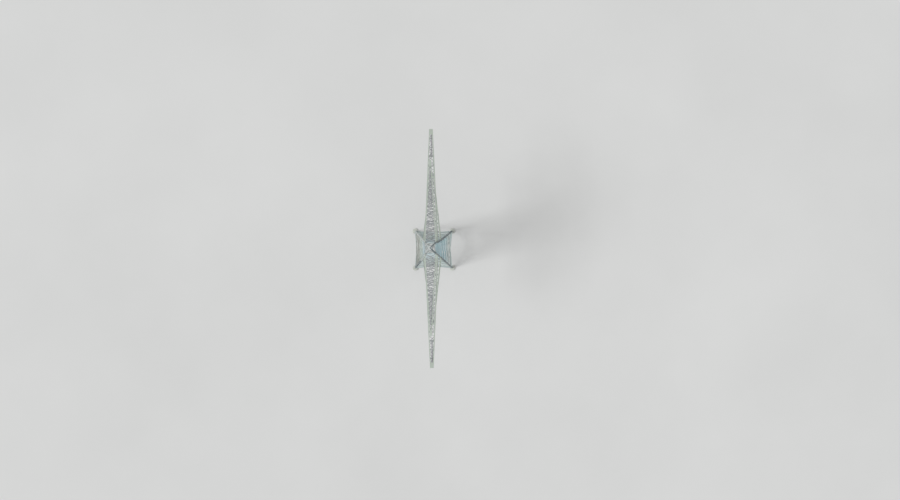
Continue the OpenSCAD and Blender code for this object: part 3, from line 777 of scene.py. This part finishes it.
def clamp_pins(way):
    """The pins that one side's clamps hang from, as distances north and heights."""
    for y, level in ((OUTER_Y, MID_Z), (INNER_Y, MID_Z), (LOWER_Y, WAIST_Z)):
        for h in (-1, 1):
            yield way * (y + h * TWIN_HALF), level - STRING_DROP - PIN_BELOW_YOKE


def add_keepers(finish):
    """Two keepers on each clamp, beside its strap, and the nuts of the bare pins."""
    keeper = keeper_template()
    earth = [(EARTH_Y, TOP_Z - PIN_BELOW_ARM), (-EARTH_Y, TOP_Z - PIN_BELOW_ARM), (0.0, PEAK_PIN_Z)]
    sets = (("north", list(clamp_pins(1))), ("south", list(clamp_pins(-1))), ("earth_wire", earth))
    for name, pins in sets:
        shape = bmesh.new()
        for y, z in pins:
            for x in (-0.052, 0.052):
                stamp(shape, keeper, Matrix.Translation((x, y, z - CLAMP_BELOW_PIN)))
            if name == "earth_wire":
                nuts(shape, Matrix.Translation((0.0, y, z)), 0.0125, 0.0185, 0.01)
        finish_piece(f"keepers_{name}", shape, finish)


def step_place(storey, z):
    """The height of a step bolt and how far out it starts. On the cover plate of a joint
    it stands on the plate, midway between two of the plate's bolts."""
    for joint, middle, half in SPLICES:
        if joint is storey and abs(z - middle) < half:
            pitch = half / 3
            return middle + pitch * max(-2, min(2, round((z - middle) / pitch))), COVER_T
    return z, 0.0


def add_step_bolts(finishes):
    """Climbing bolts up two opposite legs, alternately on their two flanges."""
    shape = bmesh.new()
    prism(shape, 0.004, 0.0, 0.078, 8)
    prism(shape, 0.0085, 0.072, 0.079, 6)
    prism(shape, 0.0085, 0.0, 0.007, 6)
    step = template(shape)
    # The step bolts take their leg's finish, with its painted shade
    for corner, sides, finish in (("ne", (1, 2), "shaded_leg"), ("sw", (3, 0), "leg_shaded_low")):
        shape = bmesh.new()
        z = FIRST_STEP_Z
        k = 0
        while z < TOP_Z - STEPS_END_BELOW:
            storey = next(s for s in (LOWER, MIDDLE, UPPER) if z < s[1])
            flange = LEG_A if storey is LOWER else NECK_LEG_A
            side = sides[k % 2]
            h = 1 if k % 2 == 0 else -1
            height, out = step_place(storey, z)
            p = side_point(storey, h * (half_width(storey, height) - 0.35 * flange), height)
            stamp(shape, step, side_frame(side, storey) @ Matrix.Translation((p.x, p.y, out)))
            z += STEP_PITCH
            k += 1
        finish_piece(f"step_bolts_{corner}", shape, finishes[finish])


def dress_nodes(finishes):
    """Each node takes the first finish whose word is in its name."""
    for name, obj in nodes.items():
        finish = next(finishes[key] for word, key in FINISH_OF if word in name)
        obj.data.materials.clear()
        obj.data.materials.append(finish)


# Legs and side faces take lit and shaded copies of one steel: painted shade on the eastern legs, the
# south-west leg low down, the east side and the peak's eastern ridges; painted light on the west side and
# the neck
FINISH_OF = (
    ("footing", "concrete"), ("leg_nw", "sunlit_leg"), ("leg_sw", "leg_shaded_low"), ("leg_", "shaded_leg"),
    ("portal", "portal"), ("frames", "portal"), ("peak", "peak"),
    ("body_side_east", "east"), ("body_side_west", "west"), ("body_side", "body"),
    ("neck_side_east", "neck_east"), ("neck_side", "neck"),
    ("truss", "trusses"), ("middle_arm", "middle_lacing"), ("lower_arm", "lower_lacing"),
    ("top_arm", "top_lacing"), ("insulator", "glaze"), ("clamps", "fittings"),
)

# Painted shade: the slate tone is a shaded copy of the leg steel, for the eastern legs, the south-west leg
# low down and the peak's eastern ridges
leg_painted_shade = ((0.24, 0.28, 0.29), (0.15, 0.18, 0.19))
# The pale tone is the lit copy of the same steel, painted sunlight: the north-west leg, the south-west leg
# high up and the peak away from its eastern ridges
pale = ((0.56, 0.60, 0.59), (0.47, 0.51, 0.50))
# Painted light: the neck's sides are lighter than the body steel, against the shade inside the narrow neck
neck_painted_light = ((0.66, 0.74, 0.75), (0.56, 0.64, 0.66))
# Painted shade on the east side: a darker copy of the body steel low down, turning bluish and lighter
# above 6 to 10 m
low_east = ((0.50, 0.56, 0.54), (0.40, 0.46, 0.45))
east_painted_sky_shade = ((0.52, 0.66, 0.69), (0.42, 0.55, 0.58))
# Painted light on the west side: lighter above 8 to 10 m; lower down it is darker and yellower
low_west = ((0.52, 0.54, 0.50), (0.42, 0.44, 0.41))
west_painted_sunlight = ((0.64, 0.70, 0.66), (0.55, 0.61, 0.57))
chords = ((0.47, 0.52, 0.46), (0.39, 0.44, 0.39))
grey = ((0.37, 0.385, 0.39), (0.27, 0.285, 0.29))
finishes = {
    # Leg finishes: painted shade on the north-east and south-east legs and below 10 m on the south-west
    # leg; the north-west leg takes the lit copy
    "shaded_leg": weathered_zinc("leg_painted_shade_zinc", leg_painted_shade, 0.55),
    "sunlit_leg": weathered_zinc("sunlit_leg_zinc", pale, 0.55),
    "leg_shaded_low": weathered_zinc("leg_shaded_low_zinc", leg_painted_shade, 0.55, pale, lambda s: s.above(10.0, 10.4)),
    "portal": weathered_zinc("portal_zinc", ((0.53, 0.60, 0.59), (0.43, 0.50, 0.50)), 0.6),
    "body": weathered_zinc("body_zinc", ((0.58, 0.65, 0.64), (0.48, 0.55, 0.54)), 0.6),
    # The east side carries painted shade, bluish higher up
    "east": weathered_zinc("east_zinc", low_east, 0.6, east_painted_sky_shade, lambda s: s.above(6.0, 10.0)),
    # The west side carries painted light higher up
    "west": weathered_zinc("west_zinc", low_west, 0.6, west_painted_sunlight, lambda s: s.above(8.0, 10.0)),
    # The neck's sides carry painted light
    "neck": weathered_zinc("neck_zinc", neck_painted_light, 0.6),
    # Painted light and shade on the neck's east side: lighter, and bluish as in sky-lit shade
    "neck_east": weathered_zinc("neck_east_zinc", ((0.60, 0.74, 0.77), (0.50, 0.64, 0.68)), 0.6),
    # Painted shade along the peak's two eastern ridges, the lit copy elsewhere
    "peak": weathered_zinc("peak_zinc", leg_painted_shade, 0.55, pale, lambda s: s.off_east_ridges(0.06)),
    "trusses": weathered_zinc("truss_zinc", chords, 0.6),
    "middle_lacing": weathered_zinc("middle_lacing_zinc", grey, 0.6, chords, lambda s: s.beyond(7.69)),
    "lower_lacing": weathered_zinc("lower_lacing_zinc", grey, 0.6, chords, lambda s: s.beyond(5.31)),
    "top_lacing": weathered_zinc("top_lacing_zinc", grey, 0.6, chords, lambda s: s.beyond(4.96)),
    "fittings": weathered_zinc("fitting_zinc", ((0.55, 0.57, 0.58), (0.42, 0.44, 0.46)), 0.45),
    "concrete": cast_concrete("cap_concrete"),
    "glaze": grey_glaze("porcelain_glaze"),
}

add_camera()
add_floor()
add_light()
bpy.context.scene.view_settings.view_transform = "Standard"
dress_nodes(finishes)
add_strings(finishes["glaze"], finishes["fittings"])
add_keepers(finishes["fittings"])
add_side_bolts(finishes["fittings"])
add_leg_splices(finishes)
add_arm_bolts(finishes["fittings"])
add_step_bolts(finishes)
